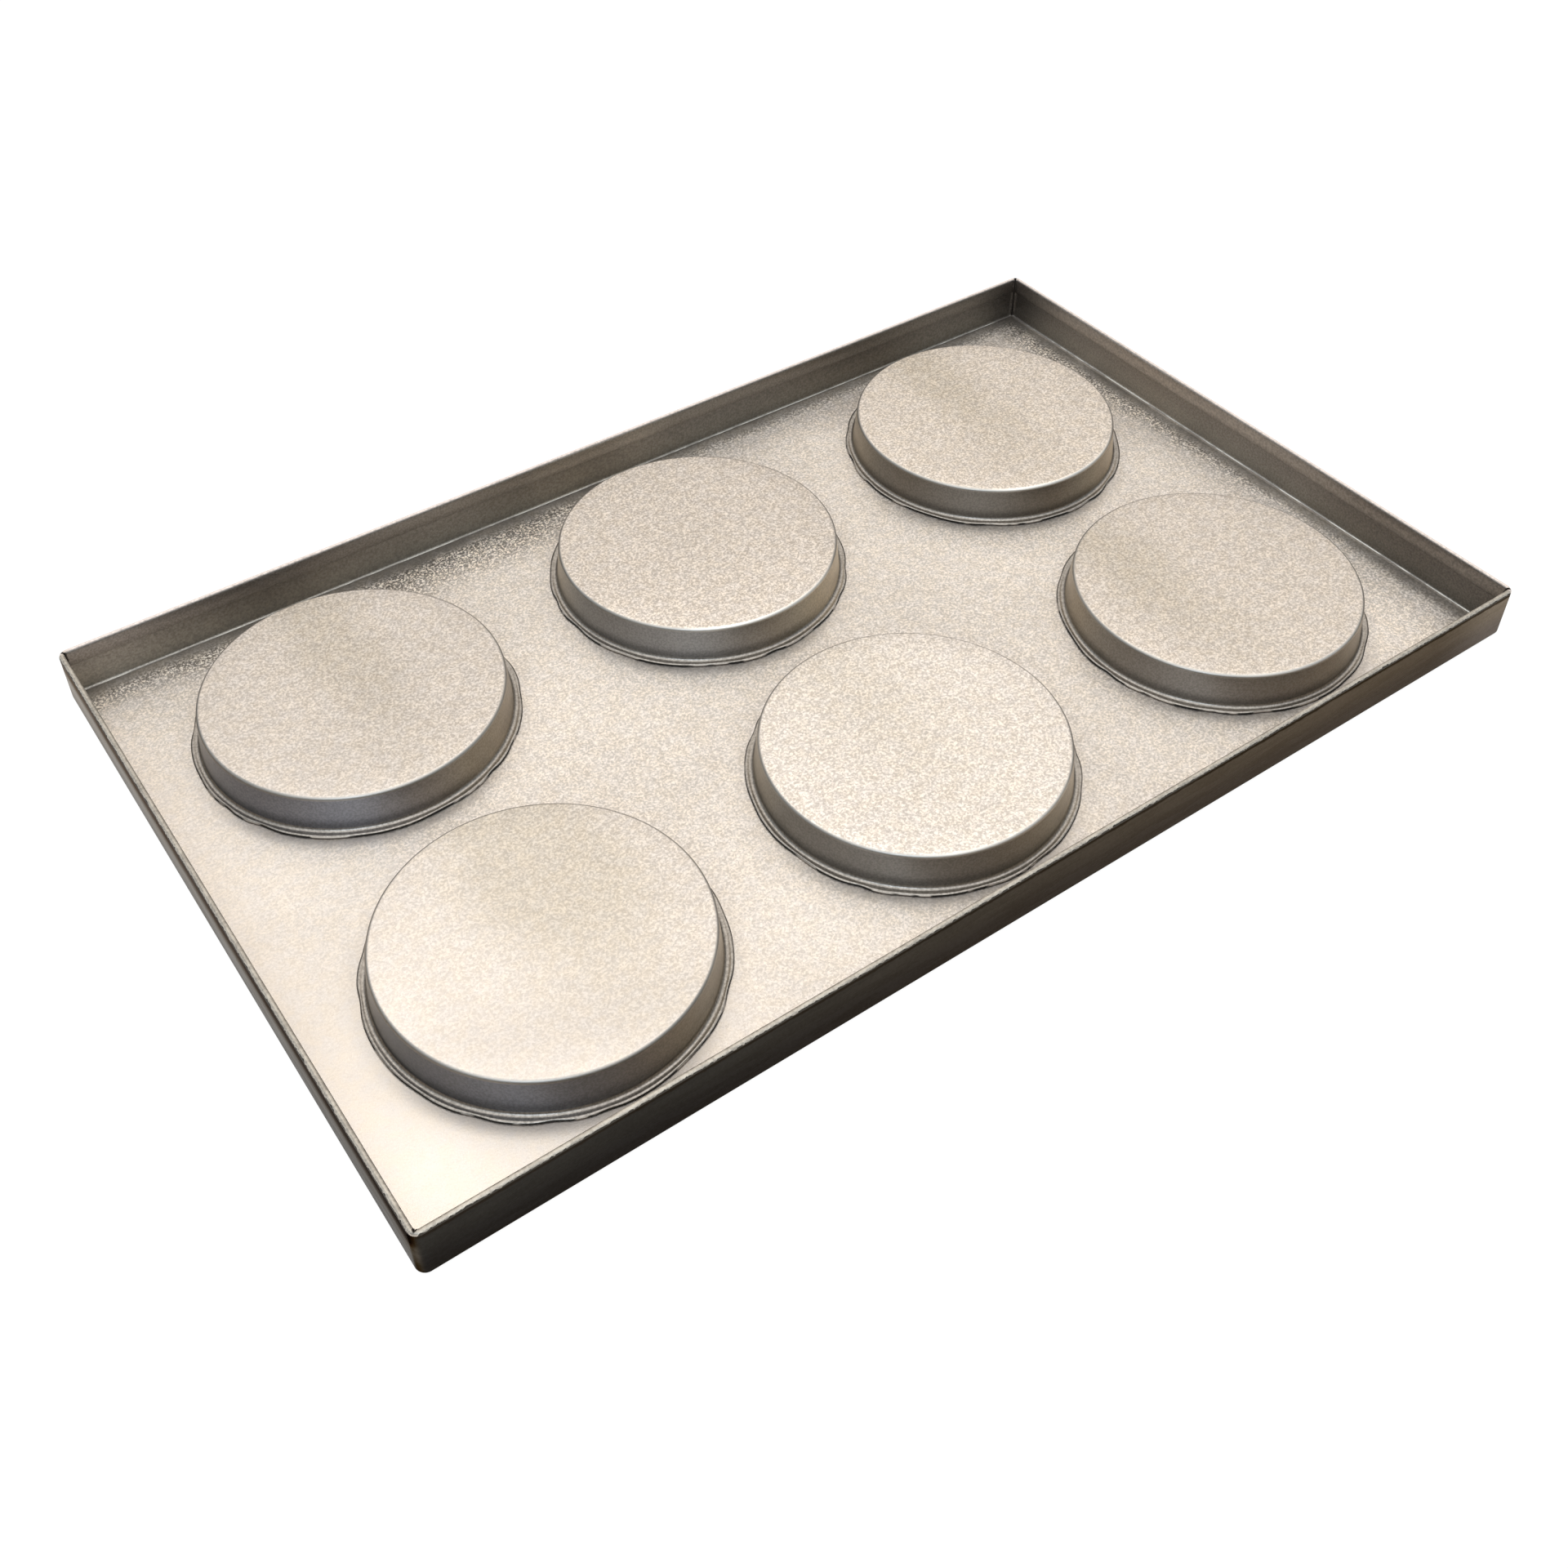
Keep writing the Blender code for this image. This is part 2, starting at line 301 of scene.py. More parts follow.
# Broad painted light and shade along the floor's diagonal, and a paler painted patch at the right end's
# front
FLOOR_PATCHES = (
    (-0.36, -0.12, 0.895, 0.967),
    (-0.11, -0.03, 1.0, 0.96),
    (0.09, 0.13, 1.0, 1.04),
    (0.10, 0.34, 1.0, 0.96),
    (-0.285, -0.335, 1.0, 1.10),
)
PALE_ALONG = (0.19, 0.24)
PALE_ACROSS = (0.02, -0.06)
PALE_TONE = (0.0, 1.0, 1.0, 1.14)
WALL_LIFT = (0.5 * MM, -0.1 * MM, 0.0, 0.10 * MM)
WALL_START = (1.10 * MM, 1.18 * MM)
BLOOM = (3.0 * MM, 24.0 * MM, 0.6, 0.85)
# Painted shadow around the moulds' feet, strongest on their front side
HALO_PART = (FLANGE_RADIUS, FLANGE_RADIUS + 7.0 * MM, 1.0, 0.0)
HALO_FACING = (-0.45, -0.98, 0.08, 0.64)

# Ramps of the moulds, up from the tray's base and round from the side that faces the cool window
# BAND_* place the painted shade strip; FRONT_PART, the climbs, turns and SHINE_PART place painted light,
# shade, reflection tints and the edge's highlight
BAND_MIDDLE = 2.0 * MM
BAND_LENGTH = (-52.0 * MM, 30.0 * MM, 0.25, 1.0)
FRONT_PART = (-15.0 * MM, -45.0 * MM)
NEAR_CLIMB = (4.0 * MM, 8.5 * MM, 0.63, 0.97)
FAR_CLIMB = (4.0 * MM, 8.5 * MM, 1.25, 0.97)
UPPER_CLIMB = (11.0 * MM, 16.0 * MM, 1.0, 0.95)
FAR_SIDE = (0.55, 0.10)
COOL_PART = (0.3, 0.98)
PALE_TURN = (0.90, -0.10)
GLOW_TURN = (0.0, 0.3)
FOOT_PART = (FLANGE_TOP + 1.6 * MM, FLANGE_TOP + 0.6 * MM)
FLAT_PART = (CUP_TOP_RADIUS - CUP_EDGE_RADIUS + 1.1 * MM, CUP_TOP_RADIUS - CUP_EDGE_RADIUS + 0.1 * MM)
EDGE_PART = (CUP_TOP_Z - 1.9 * MM, CUP_TOP_Z - 0.7 * MM)
SHINE_PART = (-0.72, -0.95)

# Ramps of the painted shade on the outer walls
OUTSIDE_SHADE_FADE = (-0.20, 0.26)
OUTSIDE_SHADE_END_PART = (0.212, 0.268)
OUTSIDE_SHADE_FOOT_PART = (4.0 * MM, 20.0 * MM, 1.0, 0.0)
UNDER_RIM_SHADE_LINE = (21.3 * MM, 22.3 * MM)
UNDER_RIM_SHADE_LINE_SHARE = 0.85
GREY_BACK_TONE = (0.09, 0.15, 1.0, 1.3)
GREY_FOOT_TONE = (3.0 * MM, 12.0 * MM, 0.72, 1.0)
UPPER_SHADE_PART = (13.0 * MM, 20.5 * MM)
BAND_PART = (22.6 * MM, 23.6 * MM)
BAND_SHARE = 0.93
DUSK_ACROSS = (-0.16, 0.03, 0.84, 1.0)
DUSK_FOOT = (3.0 * MM, 12.0 * MM, 0.78, 1.0)

# Rim: its painted shade lines lie at these distances out and in from the hem's middle
OUTER_LINE = (1.20 * MM, 1.40 * MM)
INNER_LINE = (1.06 * MM, 1.21 * MM)
OUTER_LINE_SHARE = 0.93
INNER_LINE_SHARE = 0.6
OUTER_RAGS = 1.8 * MM
INNER_RAGS = 0.12 * MM
REAR_RAGS = 0.9 * MM
RIM_DROP = 0.6
RIM_CHIPS = (0.54, 0.66, 0.0, 0.35 * MM)
RIM_WEAR = (0.58, 1.0)
PATCH_SHARE = 0.6
# Outer side of the rim painted lighter, and where the painted highlight lies on the rear rim's edge
RIM_OUTER_TONE = (0.3 * MM, 1.1 * MM, 1.0, 1.5)
REAR_HIGHLIGHT_PART = (2.5 * MM, 0.8 * MM)
OPEN_CRACK = (1.2 * MM, 1.7 * MM)

# Each mould's looks, mostly painted light: tints of its bottom and wall, how cool its near side is as a
# painted reflection and how pale its far side, the evenness of its flecks, its painted shade strip's shift,
# width and depth, the painted glow on its wall and where that lies, the painted shine of its edge at the
# front, and the tone of its bottom's front part
CUP_LOOKS = {
    "cup_front_left": {
        "bottom": (0.875, 0.88, 0.89), "wall": (0.78, 0.785, 0.79), "cool": 1.1, "pale": 1.12,
        "even": 0.05, "shift": 16.0 * MM, "width": 42.0 * MM, "depth": 1.4,
        "glow": 1.6, "glow_at": -0.32, "shine": 0.8, "front": 0.90,
    },
    "cup_front_middle": {
        "bottom": (0.99, 1.0, 1.015), "wall": (1.05, 1.06, 1.05), "cool": 0.32, "pale": 1.08,
        "even": 0.0, "shift": 0.0, "width": 42.0 * MM, "depth": 0.55,
        "glow": 1.45, "glow_at": 0.0, "shine": 1.7, "front": 1.0,
    },
    "cup_front_right": {
        "bottom": (0.875, 0.87, 0.865), "wall": (1.20, 1.19, 1.17), "cool": 0.3, "pale": 0.96,
        "even": 0.0, "shift": -24.0 * MM, "width": 24.0 * MM, "depth": 0.9,
        "glow": 1.25, "glow_at": 0.0, "shine": 1.6, "front": 1.0,
    },
    "cup_back_left": {
        "bottom": (0.82, 0.82, 0.825), "wall": (1.02, 1.025, 1.04), "cool": 1.15, "pale": 1.05,
        "even": 0.03, "shift": 6.0 * MM, "width": 24.0 * MM, "depth": 0.9,
        "glow": 1.0, "glow_at": 0.0, "shine": 1.05, "front": 1.0,
    },
    "cup_back_middle": {
        "bottom": (0.885, 0.88, 0.877), "wall": (1.31, 1.32, 1.29), "cool": 0.6, "pale": 1.41,
        "even": -0.08, "shift": 0.0, "width": 24.0 * MM, "depth": 0.1,
        "glow": 1.45, "glow_at": -0.35, "shine": 2.0, "front": 1.07,
    },
    "cup_back_right": {
        "bottom": (0.95, 0.942, 0.93), "wall": (1.0, 0.99, 0.96), "cool": 0.25, "pale": 1.6,
        "even": -0.05, "shift": -3.0 * MM, "width": 26.0 * MM, "depth": 0.9,
        "glow": 1.45, "glow_at": 0.0, "shine": 2.0, "front": 1.0,
    },
}

# Sky: it brightens towards the zenith behind the tray, and stays dim and cool on the near side
SKY_SLOPE = 2.2
SKY_DROP = 0.12
SKY_AXIS = (0.62, 0.79, 0.35)
SKY_BEHIND = (0.35, 0.8)
HORIZON_LEVEL = 0.5
NEAR_SKY = (0.05, 0.6, 0.34, 0.60)
ZENITH_SKY = (0.6, 0.98, 0.0, 0.25)
NEAR_TINT = (0.84, 0.93, 1.0)
FAR_TINT = (1.0, 0.985, 0.955)

# Lamps as (name, place, target, size, power, colour)
LAMPS = (
    ("top_softbox", (-0.25, -0.3, 1.45), (0.0, 0.0, 0.0), 2.0, 11.5, (1.0, 0.98, 0.95)),
    ("near_window", (-0.95, -1.0, 1.15), (-0.1, 0.0, 0.0), 0.6, 3.4, (0.62, 0.80, 1.0)),
)

# Floor under the tray
FLOOR_REACH = 6.0
FLOOR_Z = -0.2 * MM
FLOOR_COLOUR = (0.8, 0.8, 0.8)
FLOOR_SHADOW = (0.105, 0.1, 0.095)
FLOOR_ROUGH = 0.9
FLOOR_WHITE = 0.935

# Camera, fitted to the photograph's frame of 1920 by 1920
FRAME_SIZE = 1920.0
FOCAL_PIXELS = 2153.6
CENTRE_PIXEL_X = 925.6
CENTRE_PIXEL_Y = 780.6
SENSOR = 36.0
CLIP_START = 0.01
CAMERA_PLACE = (-0.3378, -0.4500, 0.5158)
CAMERA_AZIMUTH = -35.0
CAMERA_ELEVATION = 41.7
CAMERA_ROLL = -0.17

# The mix node's sockets: its factor, then its inputs and output for values and for colours
MIX_FACTOR = 0
VALUE_A, VALUE_B, VALUE_OUT = 2, 3, 0
COLOUR_A, COLOUR_B, COLOUR_OUT = 6, 7, 2


def arc(centre, radius, start_deg, end_deg, steps):
    """Points along an arc in a profile plane, both ends included."""
    points = []
    for step in range(steps + 1):
        angle = math.radians(start_deg + (end_deg - start_deg) * step / steps)
        points.append((centre[0] + radius * math.cos(angle), centre[1] + radius * math.sin(angle)))
    return points


def add_point(bm, x, y, radius, angle, height):
    """A vertex on a level circle around a point."""
    return bm.verts.new((x + radius * math.cos(angle), y + radius * math.sin(angle), height))


def finish_piece(bm, name, materials, replaced):
    """Smooth-shaded object that rides on the body and stands for its CAD node."""
    bmesh.ops.recalc_face_normals(bm, faces=bm.faces)
    mesh = bpy.data.meshes.new(name)
    bm.to_mesh(mesh)
    bm.free()
    for material in materials:
        mesh.materials.append(material)
    mesh.shade_smooth()
    mesh.set_sharp_from_angle(angle=math.radians(SHARP_ANGLE))
    piece = bpy.data.objects.new(name, mesh)
    bpy.context.scene.collection.objects.link(piece)
    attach(piece, "root")
    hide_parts(replaced)
    return piece


def bridge(bm, first, second, material=0):
    """Quads between two closed rings with equal numbers of vertices."""
    count = len(first)
    for index in range(count):
        after = (index + 1) % count
        face = bm.faces.new((first[index], first[after], second[after], second[index]))
        face.material_index = material


# Node helpers

def put(tree, socket, value):
    """Link an output to a socket, or set the socket's own value; a colour is made opaque."""
    if isinstance(value, bpy.types.NodeSocket):
        tree.links.new(value, socket)
    elif socket.type == "RGBA":
        socket.default_value = (*value, 1.0)
    else:
        socket.default_value = value


def node(tree, kind, inputs=None, **settings):
    """Add a node, set its properties, and set or link its inputs."""
    made = tree.nodes.new(kind)
    for key, value in settings.items():
        setattr(made, key, value)
    for key, value in (inputs or {}).items():
        put(tree, made.inputs[key], value)
    return made


def math_node(tree, operation, first, second=0.0, clamp=False):
    """Result of an operation on one or two values."""
    inputs = {0: first, 1: second}
    return node(tree, "ShaderNodeMath", inputs, operation=operation, use_clamp=clamp).outputs[0]


def vector_node(tree, operation, first, second=(0.0, 0.0, 0.0)):
    """Vector or number that comes of an operation on one or two vectors."""
    made = node(tree, "ShaderNodeVectorMath", {0: first, 1: second}, operation=operation)
    return made.outputs["Value" if operation in ("LENGTH", "DOT_PRODUCT") else "Vector"]


def plus(tree, first, second):
    """Sum of two values."""
    return math_node(tree, "ADD", first, second)


def minus(tree, first, second):
    """Difference of two values."""
    return math_node(tree, "SUBTRACT", first, second)


def times(tree, first, *others):
    """Product of two or more values."""
    for other in others:
        first = math_node(tree, "MULTIPLY", first, other)
    return first


def apart(tree, first, second=0.0):
    """How far one value is from another, without its sign."""
    return math_node(tree, "ABSOLUTE", minus(tree, first, second))


def ramp(tree, value, start, stop, low=0.0, high=1.0):
    """Smooth change from a low to a high level, while a value goes from start to stop."""
    inputs = {"Value": value, "From Min": start, "From Max": stop, "To Min": low, "To Max": high}
    return node(tree, "ShaderNodeMapRange", inputs, interpolation_type="SMOOTHSTEP").outputs["Result"]


def mix_value(tree, factor, first, second):
    """Value between two, the first at a factor of 0."""
    inputs = {MIX_FACTOR: factor, VALUE_A: first, VALUE_B: second}
    return node(tree, "ShaderNodeMix", inputs).outputs[VALUE_OUT]


def mix_colour(tree, factor, first, second, blend="MIX"):
    """Colour between two, the first at a factor of 0."""
    inputs = {MIX_FACTOR: factor, COLOUR_A: first, COLOUR_B: second}
    return node(tree, "ShaderNodeMix", inputs, data_type="RGBA", blend_type=blend).outputs[COLOUR_OUT]


def tinted(tree, colour, tint, amount=1.0):
    """A colour multiplied by a tint or a tone, in full or by an amount."""
    return mix_colour(tree, amount, colour, tint, "MULTIPLY")


def noise(tree, vector, scale, detail=2.0, roughness=0.5, distortion=0.0):
    """Noise from 0 to 1, mostly near its middle."""
    inputs = {
        "Vector": vector,
        "Scale": scale,
        "Detail": detail,
        "Roughness": roughness,
        "Distortion": distortion,
    }
    return node(tree, "ShaderNodeTexNoise", inputs).outputs["Fac"]


def pattern(tree, place, look, levels):
    """A noise turned into levels by a ramp."""
    return ramp(tree, noise(tree, place, *look), *levels)


def wander(tree, place, width, look):
    """Irregular offset, within half a width to both sides."""
    return times(tree, minus(tree, noise(tree, place, *look), 0.5), width)


def new_material(name):
    """A material, its node tree, its shader, and the place on the object in metres."""
    material = bpy.data.materials.new(name)
    material.use_nodes = True
    tree = material.node_tree
    shader = tree.nodes["Principled BSDF"]
    place = node(tree, "ShaderNodeTexCoord").outputs["Object"]
    return material, tree, shader, place


def coordinates(tree, place):
    """A place's x, y and z."""
    return tuple(node(tree, "ShaderNodeSeparateXYZ", {"Vector": place}).outputs)


def finish_metal(tree, shader, colour, rough, metallic=1.0):
    """Set a metal's colour, roughness and metallic share."""
    for name, value in (("Base Color", colour), ("Roughness", rough), ("Metallic", metallic)):
        put(tree, shader.inputs[name], value)


def pit(tree, shader, place, depth, strength=1.0):
    """Give a metal the fine uneven surface that makes its flecks glint."""
    pits = noise(tree, place, *PITS)
    bump = node(tree, "ShaderNodeBump", {"Height": pits, "Distance": depth, "Strength": strength})
    put(tree, shader.inputs["Normal"], bump.outputs["Normal"])


# Finishes

def nearness(tree, place):
    """Place along the tray's diagonal, in metres: lowest at the pale front-left corner, whose paleness is
    painted light.
    """
    return vector_node(tree, "DOT_PRODUCT", place, DIAGONAL)


def near_face(tree, value, half_size, insets):
    """1 close to the far face, 0 further in."""
    return ramp(tree, value, half_size - insets[0], half_size - insets[1])


def edge_insets(tree, place):
    """Distances in from the nearest end face and from the nearest side face."""
    along, across = coordinates(tree, place)[:2]
    return minus(tree, HALF_LENGTH, apart(tree, along)), minus(tree, HALF_WIDTH, apart(tree, across))


def mottle(tree, place):
    """Soft flecks of an aluminised coating, 0 to 1: worms about a millimetre wide, in loose clusters."""
    worms = times(tree, pattern(tree, place, *WORMS), WORM_SHARE)
    grains = times(tree, pattern(tree, place, *GRAINS), 1.0 - WORM_SHARE)
    return math_node(tree, "ADD", plus(tree, worms, grains), pattern(tree, place, *CLUSTERS), clamp=True)


def coated_colour(tree, place, flecks, dark, light):
    """Mottle between two colours, with faint stains and patches that lean cool or warm."""
    colour = mix_colour(tree, flecks, dark, light)
    colour = tinted(tree, colour, pattern(tree, place, *STAINS))
    return tinted(tree, colour, mix_colour(tree, pattern(tree, place, *LEANING), COOL_LEAN, WARM_LEAN))


def seam_crack(tree, place, half_width):
    """Ragged dark line where two walls meet: 1 in the crack, 0 outside."""
    end_inset, side_inset = edge_insets(tree, place)
    off = plus(tree, apart(tree, end_inset, side_inset), wander(tree, place, *SEAM_RAGS))
    line = ramp(tree, off, half_width + SEAM_SOFTNESS, half_width)
    return times(tree, line, ramp(tree, math_node(tree, "MAXIMUM", end_inset, side_inset), *SEAM_REACH))


def wall_shade(tree, place):
    """Painted light and shade of the inner walls: darkest along the back and in the far corner, with its
    own painted hem tone.
    """
    along, across, height = coordinates(tree, place)
    back = near_face(tree, across, HALF_WIDTH, ON_WALL)
    right = near_face(tree, along, HALF_LENGTH, ON_WALL)
    # Painted light and shade along the right and back walls, with a painted glint
    glint = ramp(tree, apart(tree, across, GLINT_PLACE), *GLINT_TONE)
    rising = ramp(tree, across, *RIGHT_WALL_RISE)
    right_tone = times(tree, rising, glint, ramp(tree, across, *RIGHT_WALL_FALL))
    middle = ramp(tree, apart(tree, along), *BACK_WALL_MIDDLE)
    middle = times(tree, middle, ramp(tree, height, *BACK_MIDDLE_RISE))
    back_tone = plus(tree, ramp(tree, along, *BACK_WALL_END), middle)
    back_tone = times(tree, ramp(tree, along, *BACK_WALL_FADE), back_tone)
    # Near walls painted lighter, so the moulds reflect them lighter
    shade = mix_colour(tree, right, NEAR_SHADE, tinted(tree, WALL_SHADE, right_tone))
    shade = mix_colour(tree, back, shade, tinted(tree, BACK_SHADE, back_tone))
    # Painted paler hem, lighter foot and painted shade in the far corner
    back_hem = mix_colour(tree, ramp(tree, along, *LEFT_PART), BACK_HEM_SHADE, BACK_LEFT_HEM_SHADE)
    hem = mix_colour(tree, back, mix_colour(tree, right, WHITE, RIGHT_HEM_SHADE), back_hem)
    shade = tinted(tree, shade, hem, ramp(tree, height, *HEM_FOLD))
    shade = tinted(tree, shade, WALL_FOOT, ramp(tree, height, *WALL_FOOT_PART))
    by_end = near_face(tree, along, HALF_LENGTH, BY_CORNER)
    corner = times(tree, by_end, near_face(tree, across, HALF_WIDTH, BY_CORNER))
    shade = tinted(tree, shade, CORNER_SHADE, corner)
    return mix_colour(tree, seam_crack(tree, place, WALL_CRACK), shade, SEAM_SHADE)


def foot_shadow(tree, place):
    """Painted shadow around the moulds' feet, strongest on their front side, from 0 to about 0.6."""
    along, across = coordinates(tree, place)[:2]
    column = math_node(tree, "ROUND", math_node(tree, "DIVIDE", along, CUP_PITCH_X))
    column = math_node(tree, "MAXIMUM", math_node(tree, "MINIMUM", column, 1.0), -1.0)
    from_x = minus(tree, along, times(tree, column, CUP_PITCH_X))
    from_y = minus(tree, across, times(tree, math_node(tree, "SIGN", across), CUP_PITCH_Y / 2.0))
    offset = node(tree, "ShaderNodeCombineXYZ", {0: from_x, 1: from_y}).outputs[0]
    radius = vector_node(tree, "LENGTH", offset)
    facing = math_node(tree, "DIVIDE", vector_node(tree, "DOT_PRODUCT", offset, HALO_BACK), radius)
    return times(tree, ramp(tree, radius, *HALO_PART), ramp(tree, facing, *HALO_FACING))


def wall_gaps(tree, place):
    """Distances in from the end and side walls and from the far corner, plain and with ragged edges."""
    along, across = coordinates(tree, place)[:2]
    end = minus(tree, HALF_LENGTH - FOLD_OUTER, along)
    side = minus(tree, HALF_WIDTH - FOLD_OUTER, across)
    nearest = math_node(tree, "MINIMUM", end, side)
    rags = wander(tree, place, *DULL_RAGS)
    small_rags = times(tree, rags, STRIP_RAGS_SHARE)
    side_stretch = times(tree, ramp(tree, along, *SIDE_REACH_LEFT), ramp(tree, along, *SIDE_REACH_RIGHT))
    end_reach = times(tree, end, ramp(tree, across, *END_REACH))
    reach = math_node(tree, "MINIMUM", end_reach, times(tree, side, side_stretch))
    corner = vector_node(tree, "LENGTH", node(tree, "ShaderNodeCombineXYZ", {0: end, 1: side}).outputs[0])
    return {
        "end": end,
        "side": side,
        "nearest": nearest,
        "strip": plus(tree, nearest, small_rags),
        "end_strip": plus(tree, end, small_rags),
        "reach": plus(tree, reach, rags),
        "corner": corner,
        "ragged_corner": plus(tree, corner, rags),
    }


def floor_mottle(tree, place, flecks, gaps):
    """Mottle of the tray's floor: calmer beside the walls and darkened there as painted shade, and evener
    towards the front-left corner as painted light.
    """
    # Painted light: evener, paler flecks towards the front-left corner
    dark = mix_colour(tree, ramp(tree, nearness(tree, place), *EVEN_FLECKS), SHEET_DARK, SHEET_LIGHT)
    # Painted shade beside the walls, on the dark and the light flecks
    dark = tinted(tree, dark, ramp(tree, gaps["reach"], *DARK_FLECKS_BY_WALL))
    light = tinted(tree, SHEET_LIGHT, ramp(tree, gaps["reach"], *LIGHT_FLECKS_BY_WALL))
    calmed = mix_value(tree, ramp(tree, gaps["strip"], *CALM_STRIP), flecks, CALM_FLECKS)
    colour = coated_colour(tree, place, calmed, dark, light)
    return tinted(tree, colour, BY_WALL_TINT, ramp(tree, gaps["reach"], *WARM_BY_WALL))


def strip_tone(tree, place, flecks, gaps):
    """Tone of the strips along the walls: painted shade, a painted highlight on the end wall's fold and
    painted shade on the side wall's fold, then crisper flecks as painted glints.
    """
    across = coordinates(tree, place)[1]
    end_tone = ramp(tree, gaps["end_strip"], *END_STRIP_TONE)
    end_tone = mix_value(tree, ramp(tree, across, *END_STRIP_PART), 1.0, end_tone)
    # Painted highlight on the end wall's fold and painted shade on the side wall's fold
    fold_light_and_shade = times(tree, ramp(tree, gaps["end"], *END_FOOT_TONE), ramp(tree, gaps["side"], *SIDE_FOOT_TONE))
    # Crisper flecks further from the walls, as painted glints
    crisp = times(tree, ramp(tree, gaps["reach"], *CRISP_OUTER), ramp(tree, gaps["strip"], *CRISP_INNER))
    spread = mix_value(tree, crisp, 1.0, ramp(tree, flecks, *CRISP_TONE))
    return times(tree, ramp(tree, gaps["strip"], *STRIP_TONE), end_tone, fold_light_and_shade, spread)


def light_and_shade_patches(tree, place):
    """Broad painted light and shade on the tray's floor, along its diagonal and in a paler patch at the
    right end's front.
    """
    along, across = coordinates(tree, place)[:2]
    diagonal = nearness(tree, place)
    pale = times(tree, ramp(tree, along, *PALE_ALONG), ramp(tree, across, *PALE_ACROSS))
    patches = [ramp(tree, diagonal, *patch) for patch in FLOOR_PATCHES]
    return times(tree, ramp(tree, pale, *PALE_TONE), *patches)


def sheet_inside_metal():
    """Floor and inner walls: mottled on the floor, in painted shade by the walls, and darker and plainer on
    them, in painted light and shade.
    """
    material, tree, shader, place = new_material("aluminised_sheet")
    flecks = mottle(tree, place)
    gaps = wall_gaps(tree, place)
    colour = tinted(tree, floor_mottle(tree, place, flecks, gaps), strip_tone(tree, place, flecks, gaps))
    # Painted shade on the floor in the far corner
    colour = tinted(tree, colour, CORNER_FLOOR_SHADE, ramp(tree, gaps["ragged_corner"], *CORNER_FLOOR_SHADE_PART))
    # Painted shadow right at the fold by the walls
    colour = mix_colour(tree, ramp(tree, gaps["nearest"], *CREASE_SHADOW), colour, FOOT_SHADOW)
    # Painted highlight along the fold, broken in patches
    patchy = times(tree, pattern(tree, place, *CREASE_BREAKS), ramp(tree, gaps["corner"], *CREASE_PAST_CORNER))
    crease = times(tree, ramp(tree, gaps["nearest"], *CREASE_PART), patchy)
    colour = tinted(tree, mix_colour(tree, crease, colour, CREASE_HIGHLIGHT), light_and_shade_patches(tree, place))
    # Painted shadow around the moulds' feet
    floor_colour = mix_colour(tree, foot_shadow(tree, place), colour, FOOT_SHADOW)
    wall_colour = tinted(tree, wall_shade(tree, place), pattern(tree, place, *WALL_GRAIN))
    height = coordinates(tree, place)[2]
    wall = ramp(tree, minus(tree, height, ramp(tree, gaps["end"], *WALL_LIFT)), *WALL_START)
    colour = mix_colour(tree, wall, floor_colour, wall_colour)
    metallic = mix_value(tree, wall, ramp(tree, gaps["nearest"], *BLOOM), 1.0)
    finish_metal(tree, shader, colour, ramp(tree, flecks, *SHEET_ROUGH), metallic)
    pit(tree, shader, place, SHEET_RELIEF)
    return material


def shade_strip(tree, place, centre, look):
    """Painted shade strip across a mould's bottom: 0 outside, up to its depth."""
    along, across = coordinates(tree, place)[:2]
    along = plus(tree, along, wander(tree, place, *BAND_RAGS))
    strip = ramp(tree, apart(tree, along, centre.x + look["shift"]), BAND_MIDDLE, look["width"], 1.0, 0.0)
    return times(tree, strip, ramp(tree, minus(tree, across, centre.y), *BAND_LENGTH), look["depth"])


def cup_bottom(tree, place, offset, flecks, name):
    """Mottled bottom of a mould, with its painted shade strip; its evener flecks towards the front left and
    its front part's tone are painted light and shade.
    """
    look = CUP_LOOKS[name]
    plain = [low + look["even"] * (high - low) for low, high in zip(CUP_DARK, CUP_LIGHT)]
    # Painted light: evener, paler flecks towards the front-left corner
    dark = mix_colour(tree, ramp(tree, nearness(tree, place), *EVEN_FLECKS), plain, CUP_LIGHT)
    colour = coated_colour(tree, place, flecks, dark, CUP_LIGHT)
    # Painted shade strip
    colour = tinted(tree, colour, BAND_SHADE, shade_strip(tree, place, cup_centre(name), look))
    # Painted light and shade: each mould's own bottom tint and its front part's tone
    colour = tinted(tree, colour, look["bottom"])
    back = vector_node(tree, "DOT_PRODUCT", offset, CUP_BACK)
    return tinted(tree, colour, ramp(tree, back, *FRONT_PART, 1.0, look["front"]))


